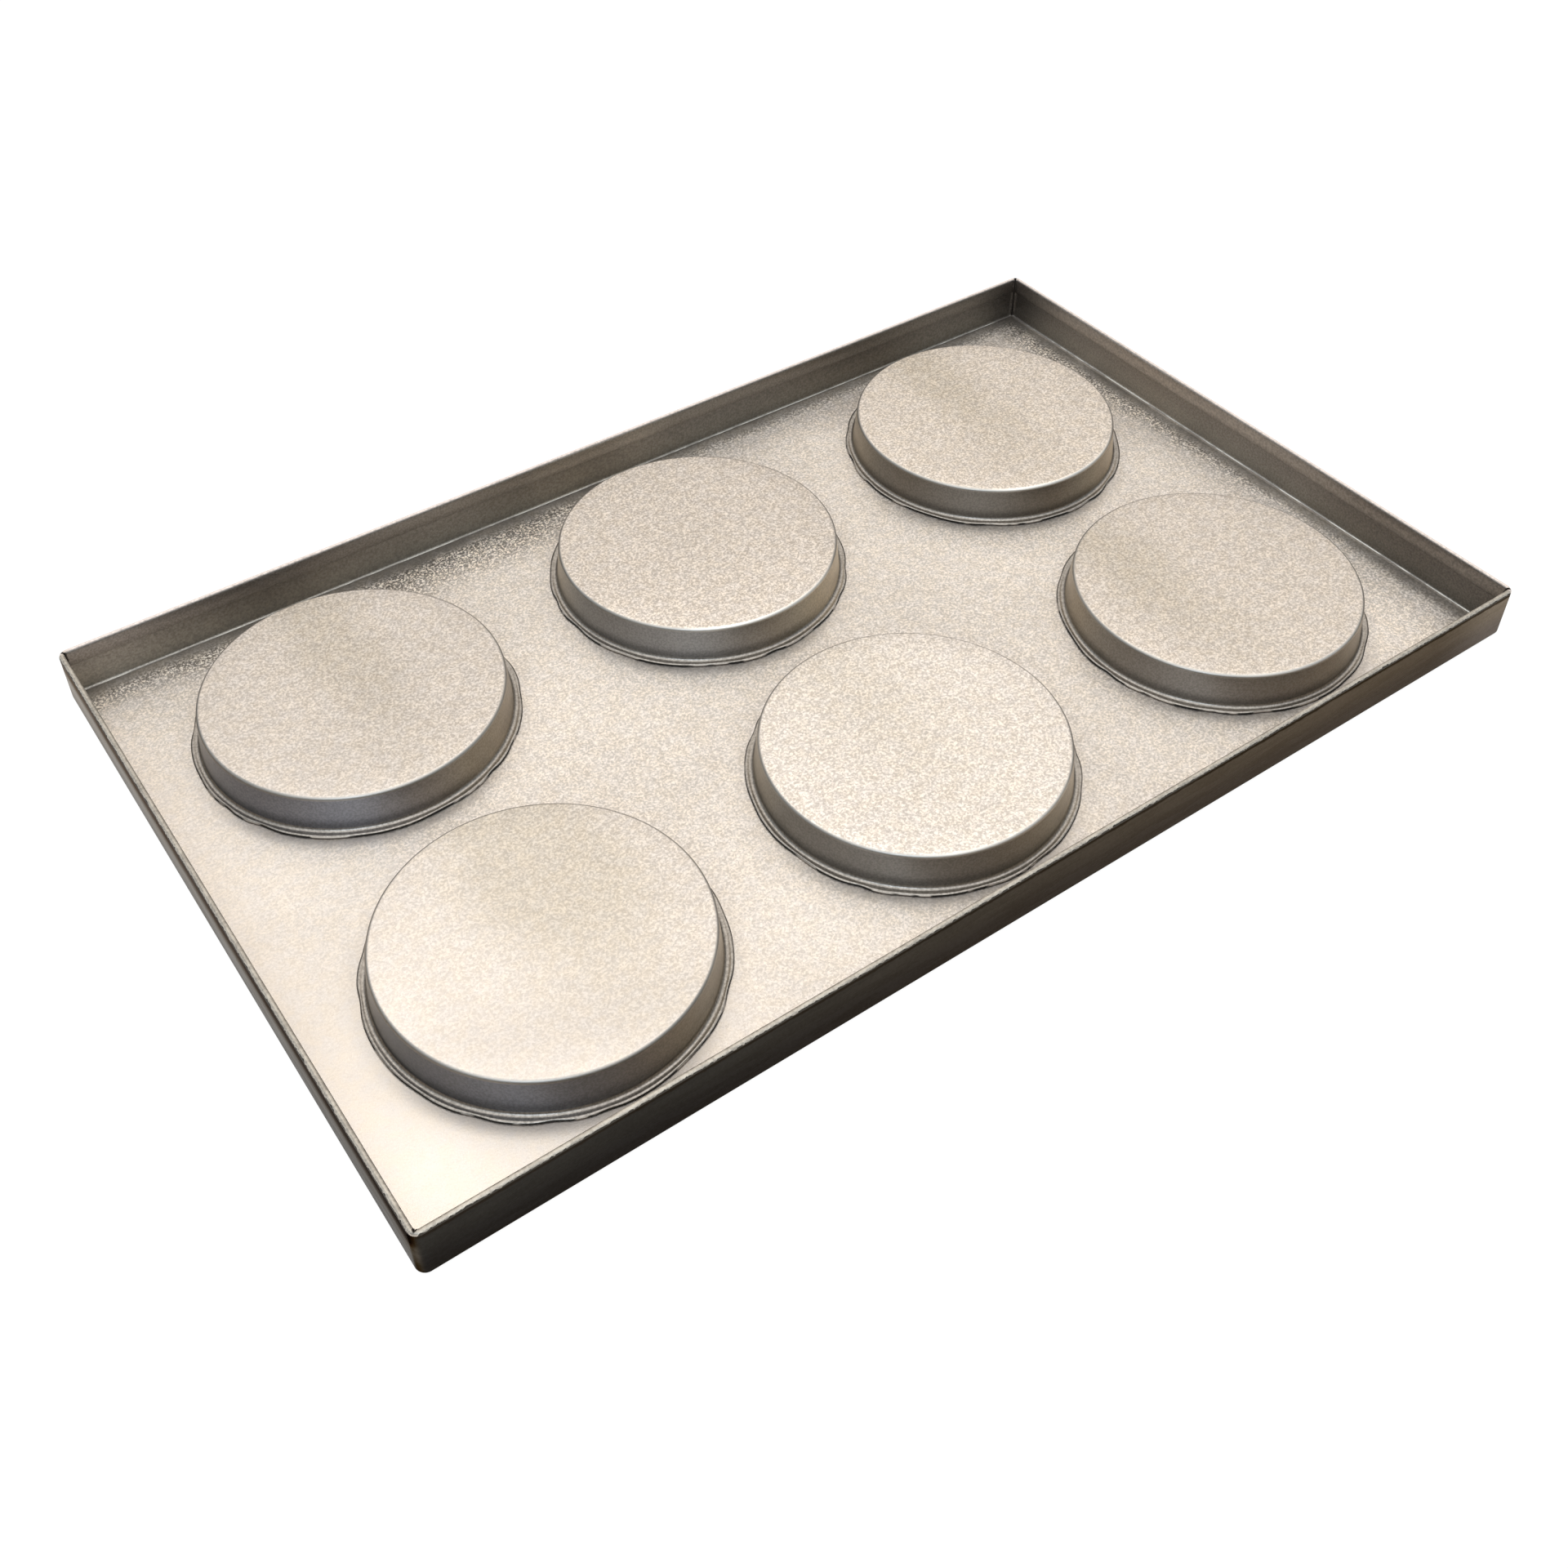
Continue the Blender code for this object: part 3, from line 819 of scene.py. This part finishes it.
def cup_wall(tree, place, offset, radius, look):
    """Drawn wall of a mould, with a painted cool reflection on its near side and painted light on its far
    one, with its foot and flange.
    """
    height = coordinates(tree, place)[2]
    grain = pattern(tree, place, *DRAWN_GRAIN)
    turned = math_node(tree, "DIVIDE", vector_node(tree, "DOT_PRODUCT", offset, COOL_FACING), radius)
    # Painted shade low on the near side, painted light low on the far side, and darker near the top
    near_climb = ramp(tree, height, *NEAR_CLIMB)
    climb = mix_value(tree, ramp(tree, turned, *FAR_SIDE), near_climb, ramp(tree, height, *FAR_CLIMB))
    climb = times(tree, climb, ramp(tree, height, *UPPER_CLIMB))
    # Painted reflection tints, cool on the near side and warm on the other, painted light on the far side
    # and a painted glow
    near_side = [grey + look["cool"] * (blue - grey) for grey, blue in zip(PLAIN_SIDE, COOL_SIDE)]
    lean = mix_colour(tree, ramp(tree, turned, *COOL_PART), WARM_SIDE, near_side)
    pale = ramp(tree, turned, *PALE_TURN, 1.0, look["pale"])
    glow = ramp(tree, apart(tree, turned, look["glow_at"]), *GLOW_TURN, look["glow"], 1.0)
    wall = mix_colour(tree, grain, DRAWN_DARK, DRAWN_LIGHT)
    for tint in (look["wall"], climb, lean, pale, glow):
        wall = tinted(tree, wall, tint)
    foot = mix_colour(tree, grain, FOOT_DARK, FOOT_LIGHT)
    return mix_colour(tree, ramp(tree, height, *FOOT_PART), wall, foot)


def cup_metal(name):
    """A drawn mould: mottled bottom, rounded edge with a painted highlight, plain wall, paler foot and
    flange.
    """
    look = CUP_LOOKS[name]
    material, tree, shader, place = new_material(f"coated_{name}")
    flecks = mottle(tree, place)
    centre = cup_centre(name)
    offset = vector_node(tree, "SUBTRACT", place, (centre.x, centre.y, 0.0))
    offset = vector_node(tree, "MULTIPLY", offset, (1.0, 1.0, 0.0))
    radius = vector_node(tree, "LENGTH", offset)
    bottom = cup_bottom(tree, place, offset, flecks, name)
    wall = cup_wall(tree, place, offset, radius, look)
    is_flat = ramp(tree, radius, *FLAT_PART)
    is_edge = ramp(tree, coordinates(tree, place)[2], *EDGE_PART)
    # Painted highlight on the rounded edge, strongest at the front
    ahead = math_node(tree, "DIVIDE", coordinates(tree, offset)[1], radius)
    edge = tinted(tree, EDGE_HIGHLIGHT, ramp(tree, ahead, *SHINE_PART, 1.0, look["shine"]))
    colour = mix_colour(tree, is_flat, mix_colour(tree, is_edge, wall, edge), bottom)
    side_rough = ramp(tree, is_edge, 0.0, 1.0, DRAWN_ROUGH, RUBBED_ROUGH)
    rough = mix_value(tree, is_flat, side_rough, ramp(tree, flecks, *CUP_ROUGH))
    finish_metal(tree, shader, colour, rough)
    pit(tree, shader, place, CUP_RELIEF, ramp(tree, is_flat, 0.0, 1.0, WALL_RELIEF_SHARE, 1.0))
    return material


def cut_edge_metal():
    """Sheared edge of a flange, painted dark as the shadow of the gap where it stands clear of the sheet,
    lighter in patches.
    """
    material, tree, shader, place = new_material("shadowed_cut_edge")
    # Painted shadow of the gap under the flange, broken in patches
    colour = mix_colour(tree, pattern(tree, place, *SHADOW_BREAKS), CUT_EDGE_SHADOW, CUT_EDGE_UNSHADED)
    finish_metal(tree, shader, colour, CUT_ROUGH)
    return material


def sheet_outside_metal():
    """Outer walls in painted shade: nearly black on the long sides, grey on the short ones."""
    material, tree, shader, place = new_material("outside_painted_shade")
    along, across, height = coordinates(tree, place)
    long_side = near_face(tree, apart(tree, across), HALF_WIDTH, ON_LONG_SIDE)
    short_side = minus(tree, 1.0, long_side)
    ragged = plus(tree, height, wander(tree, place, *RIM_SHADE_RAGS))
    under_rim = ramp(tree, ragged, *BAND_PART)
    upper_shade = ramp(tree, height, *UPPER_SHADE_PART)

    # Painted shade of the long sides, with a painted dark line just under the rim
    dark = mix_colour(tree, ramp(tree, along, *OUTSIDE_SHADE_FADE), OUTSIDE_SHADE_LEFT, OUTSIDE_SHADE_RIGHT)
    dark = mix_colour(tree, ramp(tree, along, *OUTSIDE_SHADE_END_PART), dark, OUTSIDE_SHADE_END)
    dark = tinted(tree, dark, OUTSIDE_SHADE_FOOT, ramp(tree, height, *OUTSIDE_SHADE_FOOT_PART))
    line = times(tree, ramp(tree, ragged, *UNDER_RIM_SHADE_LINE), UNDER_RIM_SHADE_LINE_SHARE)
    dark = mix_colour(tree, line, dark, GREY_BAND)

    # Painted light and shade of the short sides: darker at the front, at the foot and under the rim
    grey = mix_colour(tree, ramp(tree, across, -HALF_WIDTH, HALF_WIDTH), GREY_NEAR, GREY_FAR)
    grey = tinted(tree, grey, ramp(tree, across, *GREY_BACK_TONE))
    grey = tinted(tree, grey, ramp(tree, height, *GREY_FOOT_TONE))
    grey = tinted(tree, grey, GREY_UNDER_RIM, upper_shade)
    grey = mix_colour(tree, times(tree, under_rim, BAND_SHARE), grey, GREY_BAND)

    inputs = {"Vector": place, "Scale": STREAK_STRETCH}
    stretched = node(tree, "ShaderNodeMapping", inputs).outputs["Vector"]
    streaks = pattern(tree, stretched, *OUTSIDE_STREAKS)
    patchy = times(tree, streaks, pattern(tree, place, *OUTSIDE_GRAIN))
    colour = tinted(tree, mix_colour(tree, long_side, grey, dark), patchy)
    finish_metal(tree, shader, colour, ramp(tree, streaks, *OUTSIDE_ROUGH))

    # Grazing reflections of the short sides dimmed as painted shade, under the rim and towards the front
    # and the foot
    upper_shaded = times(tree, upper_shade, short_side)
    grazing = mix_colour(tree, upper_shaded, GRAZING_TINT, SHADED_GRAZING_TINT)
    dusk = times(tree, ramp(tree, across, *DUSK_ACROSS), ramp(tree, height, *DUSK_FOOT))
    grazing = tinted(tree, grazing, dusk, short_side)
    grazing = mix_colour(tree, times(tree, under_rim, short_side), grazing, BAND_GRAZING_TINT)
    put(tree, shader.inputs["Specular Tint"], grazing)
    return material


def rim_metal():
    """Top of the folded hem: pale bare sheet with a ragged painted shade line outside and a fine one
    inside, its outer side painted lighter and a painted highlight on the rear edge.
    """
    material, tree, shader, place = new_material("rim_wear_and_painted_shade")
    along, across, height = coordinates(tree, place)
    inset = math_node(tree, "MINIMUM", *edge_insets(tree, place))
    inward = minus(tree, inset, HEM_THICKNESS / 2.0)
    outward = minus(tree, times(tree, minus(tree, HEIGHT, height), RIM_DROP), inward)
    grain = noise(tree, place, *RIM_GRAIN)
    patches = noise(tree, place, *RIM_PATCHES)
    rags = minus(tree, grain, 0.5)

    wear = ramp(tree, plus(tree, grain, times(tree, patches, PATCH_SHARE)), *RIM_WEAR)
    colour = mix_colour(tree, wear, RIM_DARK, RIM_LIGHT)
    # Outer side painted lighter, and painted shade lines along the inner and outer edges
    colour = tinted(tree, colour, ramp(tree, outward, *RIM_OUTER_TONE))
    inner = ramp(tree, plus(tree, inward, times(tree, rags, INNER_RAGS)), *INNER_LINE)
    colour = mix_colour(tree, times(tree, inner, INNER_LINE_SHARE), colour, RIM_LINE)
    ragged = plus(tree, times(tree, rags, OUTER_RAGS), outward)
    outer = ramp(tree, plus(tree, ragged, ramp(tree, patches, *RIM_CHIPS)), *OUTER_LINE)
    colour = mix_colour(tree, times(tree, outer, OUTER_LINE_SHARE), colour, RIM_LINE)

    # Rear rim darker, with a painted highlight on its edge
    rear_highlight = ramp(tree, plus(tree, inset, times(tree, rags, REAR_RAGS)), *REAR_HIGHLIGHT_PART)
    rear = mix_colour(tree, rear_highlight, REAR_RIM, REAR_RIM_EDGE)
    at_back = near_face(tree, across, HALF_WIDTH, ON_RIM)
    at_right = near_face(tree, along, HALF_LENGTH, ON_RIM)
    colour = mix_colour(tree, math_node(tree, "MAXIMUM", at_back, at_right), colour, rear)
    open_part = math_node(tree, "MAXIMUM", times(tree, at_back, at_right), ramp(tree, inset, *OPEN_CRACK))
    crack = times(tree, seam_crack(tree, place, RIM_CRACK), open_part)
    finish_metal(tree, shader, mix_colour(tree, crack, colour, RIM_LINE), ramp(tree, grain, *RIM_ROUGH))
    return material


# Folded sheet

def corner_centres():
    """Centres of the rounded corners, counter-clockwise from +X +Y, with their start angles."""
    reach_x = HALF_LENGTH - CORNER_RADIUS
    reach_y = HALF_WIDTH - CORNER_RADIUS
    return (
        (reach_x, reach_y, 0.0),
        (-reach_x, reach_y, 90.0),
        (-reach_x, -reach_y, 180.0),
        (reach_x, -reach_y, 270.0),
    )


def corner_points(inset, groove):
    """Corner offsets as (angle, radius), with the seam as a narrow groove at the middle."""
    radius = CORNER_RADIUS - inset
    half_seam = math.degrees(SEAM_WIDTH / 2.0 / radius)
    seam = (SEAM_ANGLE - half_seam, SEAM_ANGLE, SEAM_ANGLE + half_seam)
    angles = (*CORNER_ANGLES, *seam, *(90.0 - angle for angle in reversed(CORNER_ANGLES)))
    return [(angle, radius + (groove if angle == SEAM_ANGLE else 0.0)) for angle in angles]


def skirt_ring(bm, inset, height, groove=0.0, ripple=0.0):
    """A rounded rectangle inset from the outer faces, with points along its straight sides."""
    ring = []
    corners = corner_centres()
    for index, (centre_x, centre_y, start) in enumerate(corners):
        for angle, radius in corner_points(inset, groove):
            ring.append(add_point(bm, centre_x, centre_y, radius, math.radians(start + angle), height))
        next_x, next_y, next_start = corners[(index + 1) % len(corners)]
        reach = CORNER_RADIUS - inset
        turn = math.radians(next_start)
        begin = ring[-1].co.copy()
        end = Vector((next_x + reach * math.cos(turn), next_y + reach * math.sin(turn), height))
        count = int((end - begin).length / SIDE_STEP)
        for step in range(1, count):
            point = begin.lerp(end, step / count)
            wave = math.sin(point.x * RIPPLE_WAVES[0] + point.y * RIPPLE_WAVES[1])
            shift = ripple * wave * math.sin(math.pi * step / count)
            ring.append(bm.verts.new((point.x, point.y, height + shift)))
    return ring


def grooved(points, groove=0.0):
    """Section points with the depth of the seam's groove, and no ripple."""
    return [(inset, height, groove, 0.0) for inset, height in points]


def skirt_section():
    """Section of a skirt wall as (inset, height, groove, ripple), underside round to the sheet's top."""
    half_hem = HEM_THICKNESS / 2.0
    rim = (half_hem, HEIGHT - half_hem)
    fold = (FOLD_OUTER, FOLD_OUTER)
    hem_z = HEIGHT - HEM_DEPTH
    break_in, break_up = HEM_BREAK
    groove_full, groove_gone = GROOVE_END
    section = grooved(arc(fold, FOLD_OUTER, 270.0, 180.0, FOLD_STEPS))
    section += grooved([(0.0, HEIGHT / 2.0)])
    section += grooved(arc(rim, half_hem, 180.0, 90.0, RIM_STEPS))
    section += grooved(arc(rim, half_hem, SLIT_START, 0.0, HEM_STEPS), HEM_SLIT_DEPTH)
    section += [
        (HEM_THICKNESS, hem_z + break_up, HEM_SLIT_DEPTH, RIPPLE),
        (HEM_THICKNESS - break_in, hem_z, HEM_SLIT_DEPTH, RIPPLE),
        (HEM_THICKNESS - SHEET, hem_z, 0.0, RIPPLE),
    ]
    section += grooved(arc(rim, HEM_GAP / 2.0, 0.0, 180.0, HEM_STEPS))
    section += grooved([(SHEET, hem_z), (SHEET, HEIGHT / 3.0)], SEAM_DEPTH)
    section += grooved(arc(fold, FOLD_INNER, 180.0, groove_full, HEM_STEPS), SEAM_DEPTH)
    section += grooved(arc(fold, FOLD_INNER, groove_gone, 270.0, 1))
    return section


def collar_section():
    """Section of a hole's collar as (radius, height), from the underside round to the top."""
    centre = (BEND_R, BEND_Z)
    outer_bend = BEND_Z - SHEET
    lip_z = BEND_Z + COLLAR_LIP
    section = arc(centre, BEND_Z, 270.0, 180.0, FOLD_STEPS)
    section += [(BEND_R - BEND_Z, lip_z), (BEND_R - outer_bend, lip_z)]
    section += arc(centre, outer_bend, 180.0, 270.0, FOLD_STEPS)
    return section


def turned_ring(bm, centre, radius, height):
    """A ring of a collar."""
    turns = [2.0 * math.pi * step / COLLAR_STEPS for step in range(COLLAR_STEPS)]
    return [add_point(bm, centre.x, centre.y, radius, turn, height) for turn in turns]


def fill_between(bm, loops, normal, material):
    """Flat sheet between an outer loop and the hole loops inside it."""
    edges = []
    for loop in loops:
        for index, vertex in enumerate(loop):
            edges.append(bm.edges.get((vertex, loop[(index + 1) % len(loop)])))
    filled = bmesh.ops.triangle_fill(bm, use_beauty=True, use_dissolve=False, edges=edges, normal=normal)
    for item in filled["geom"]:
        if isinstance(item, bmesh.types.BMFace):
            item.material_index = material


def cup_centre(name):
    """Middle of a mould's box in the frame."""
    low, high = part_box(name)
    return (low + high) / 2.0


def folded_sheet(materials):
    """The blank with its skirt, hem, corner seams and six collared holes."""
    inside, outside, top = range(3)
    bm = bmesh.new()
    rings = [skirt_ring(bm, *point) for point in skirt_section()]
    for index in range(len(rings) - 1):
        side = inside
        if index < OUTSIDE_STRIPS:
            side = outside
        elif index < OUTSIDE_STRIPS + RIM_STRIPS:
            side = top
        bridge(bm, rings[index], rings[index + 1], side)
    bottom_loops = [rings[0]]
    top_loops = [rings[-1]]
    for name in CUP_NAMES:
        centre = cup_centre(name)
        collar = [turned_ring(bm, centre, radius, height) for radius, height in collar_section()]
        for first, second in zip(collar, collar[1:]):
            bridge(bm, first, second, inside)
        bottom_loops.append(collar[0])
        top_loops.append(collar[-1])
    fill_between(bm, bottom_loops, (0.0, 0.0, -1.0), inside)
    fill_between(bm, top_loops, (0.0, 0.0, 1.0), inside)
    return finish_piece(bm, "folded_sheet", materials, "tray_sheet")


# Moulds

def cup_section():
    """Section of a mould as (radius, height, share in the waves), from outside its bottom to inside it."""
    edge = (CUP_TOP_RADIUS - CUP_EDGE_RADIUS, CUP_TOP_Z - CUP_EDGE_RADIUS)
    bend = (BEND_R, BEND_Z)
    outer = [(step * TOP_RING_STEP, CUP_TOP_Z) for step in range(1, TOP_RINGS + 1)]
    outer += arc(edge, CUP_EDGE_RADIUS, 90.0, 0.0, EDGE_STEPS)
    for step in range(1, WALL_PARTS):
        share = step / WALL_PARTS
        outer.append((CUP_TOP_RADIUS + CUP_DRAFT * share, edge[1] + (BEND_Z - edge[1]) * share))
    outer += arc(bend, CUP_BEND_RADIUS, 180.0, BEND_END, BEND_STEPS)
    flange = [(BEND_R + out, FLANGE_TOP + up, share) for out, up, share in FLANGE_BEAD]
    inner = arc(bend, CUP_BEND_RADIUS + CUP_SHEET, 270.0, 180.0, BEND_STEPS)
    inner += arc(edge, CUP_EDGE_RADIUS - CUP_SHEET, 0.0, 90.0, BEND_STEPS)
    inner += [(step * INSIDE_RING_STEP, CUP_TOP_Z - CUP_SHEET) for step in range(INSIDE_RINGS, 0, -1)]
    section = [(*point, 0.0) for point in outer]
    section += [*flange, CUT_TOP, *CUT_BOTTOM]
    return section + [(*point, 0.0) for point in inner]


def press_wave(angle, phase):
    """Unevenly spaced press marks of the flange: 0 between two of them, up to 1 at the deepest."""
    slow, medium, fast = WAVE_TURNS
    wide, narrow = PRESS_SPACING
    warped = angle + wide * math.sin(slow * angle + phase) + narrow * math.sin(fast * angle - 2.0 * phase)
    depth = PRESS_EVEN + (1.0 - PRESS_EVEN) * math.sin(medium * angle + slow * phase)
    return depth * math.cos(0.5 * PRESS_MARKS * warped + phase) ** PRESS_SHARPNESS


def cup_ring(bm, centre, radius, height, share, phase):
    """A ring of a mould, with the flange's press marks and waves in it by its share."""
    slow, medium, _ = WAVE_TURNS
    ring = []
    for step in range(CUP_STEPS):
        angle = 2.0 * math.pi * step / CUP_STEPS
        mark = press_wave(angle, phase)
        uneven = 0.5 + 0.5 * math.sin(slow * angle + 2.0 * phase) * math.cos(medium * angle - phase)
        reach = radius - share * PRESS_DEPTH * mark
        lift = share * PRESS_LIFT * (1.0 - mark) * uneven
        ring.append(add_point(bm, centre.x, centre.y, reach, angle, height + lift))
    return ring


def cup(name, phase, materials):
    """One drawn mould with its rounded bottom edge, foot bead and pressed flange."""
    drawn, edge = range(2)
    centre = cup_centre(name)
    bm = bmesh.new()
    section = cup_section()
    rings = [cup_ring(bm, centre, *point, phase) for point in section]
    cut_start = section.index(CUT_TOP)
    sheared = range(cut_start - 1, cut_start + 1 + len(CUT_BOTTOM))
    for index in range(len(rings) - 1):
        bridge(bm, rings[index], rings[index + 1], edge if index in sheared else drawn)
    for ring in (rings[0], rings[-1]):
        face = bm.faces.new(ring)
        face.material_index = drawn
    return finish_piece(bm, f"drawn_{name}", materials, name)


# Stage

def floor():
    """Plain floor that reads white to the camera and in reflections, and keeps the tray's faint shadow."""
    bm = bmesh.new()
    bmesh.ops.create_grid(bm, x_segments=1, y_segments=1, size=FLOOR_REACH)
    mesh = bpy.data.meshes.new("floor")
    bm.to_mesh(mesh)
    bm.free()
    item = bpy.data.objects.new("floor", mesh)
    item.location.z = FLOOR_Z
    bpy.context.scene.collection.objects.link(item)
    material, tree, shader, _ = new_material("floor")
    path = node(tree, "ShaderNodeLightPath")
    seen = math_node(tree, "MAXIMUM", path.outputs["Is Camera Ray"], path.outputs["Is Glossy Ray"])
    seen = math_node(tree, "MAXIMUM", seen, path.outputs["Is Transmission Ray"])
    put(tree, shader.inputs["Base Color"], mix_colour(tree, seen, FLOOR_COLOUR, FLOOR_SHADOW))
    put(tree, shader.inputs["Roughness"], FLOOR_ROUGH)
    glow = times(tree, seen, FLOOR_WHITE)
    white = node(tree, "ShaderNodeEmission", {"Color": WHITE, "Strength": glow})
    both = node(tree, "ShaderNodeAddShader", {0: shader.outputs[0], 1: white.outputs[0]})
    put(tree, tree.nodes["Material Output"].inputs["Surface"], both.outputs[0])
    mesh.materials.append(material)


def area_lamp(name, place, target, size, power, colour):
    """A square lamp that faces its target."""
    data = bpy.data.lights.new(name, "AREA")
    data.shape = "SQUARE"
    data.size = size
    data.energy = power
    data.color = colour
    item = bpy.data.objects.new(name, data)
    item.location = place
    aim = Vector(target) - Vector(place)
    item.rotation_euler = aim.to_track_quat("-Z", "Y").to_euler()
    bpy.context.scene.collection.objects.link(item)


def studio():
    """Soft world, bright behind and above the tray and dim on the near side, with two square lamps."""
    world = bpy.data.worlds.new("studio")
    bpy.context.scene.world = world
    world.use_nodes = True
    tree = world.node_tree
    background = tree.nodes["Background"]
    direction = node(tree, "ShaderNodeTexCoord").outputs["Generated"]
    up = coordinates(tree, direction)[2]
    climb = minus(tree, times(tree, up, SKY_SLOPE), SKY_DROP)
    behind = ramp(tree, vector_node(tree, "DOT_PRODUCT", direction, SKY_AXIS), *SKY_BEHIND)
    lit = math_node(tree, "MAXIMUM", climb, HORIZON_LEVEL)
    near = plus(tree, ramp(tree, up, *NEAR_SKY), ramp(tree, up, *ZENITH_SKY))
    put(tree, background.inputs["Color"], mix_colour(tree, behind, NEAR_TINT, FAR_TINT))
    put(tree, background.inputs["Strength"], mix_value(tree, behind, near, lit))
    for lamp in LAMPS:
        area_lamp(*lamp)


def camera():
    """The photograph's viewpoint."""
    data = bpy.data.cameras.new("camera")
    data.sensor_width = SENSOR
    data.lens = SENSOR * FOCAL_PIXELS / FRAME_SIZE
    data.shift_x = (FRAME_SIZE / 2.0 - CENTRE_PIXEL_X) / FRAME_SIZE
    data.shift_y = (CENTRE_PIXEL_Y - FRAME_SIZE / 2.0) / FRAME_SIZE
    data.clip_start = CLIP_START
    item = bpy.data.objects.new("camera", data)
    turn = Matrix.Rotation(math.radians(CAMERA_AZIMUTH), 4, "Z")
    tilt = Matrix.Rotation(math.radians(90.0 - CAMERA_ELEVATION), 4, "X")
    roll = Matrix.Rotation(math.radians(CAMERA_ROLL), 4, "Z")
    item.matrix_world = Matrix.Translation(CAMERA_PLACE) @ turn @ tilt @ roll
    bpy.context.scene.collection.objects.link(item)
    bpy.context.scene.camera = item


sheet_inside = sheet_inside_metal()
sheet_outside = sheet_outside_metal()
rim = rim_metal()
shadowed_cut_edge = cut_edge_metal()

camera()
studio()
floor()
folded_sheet([sheet_inside, sheet_outside, rim])
for order, cup_name in enumerate(CUP_NAMES):
    cup(cup_name, CUP_PHASE * order, [cup_metal(cup_name), shadowed_cut_edge])

bpy.context.scene.view_settings.view_transform = "Standard"
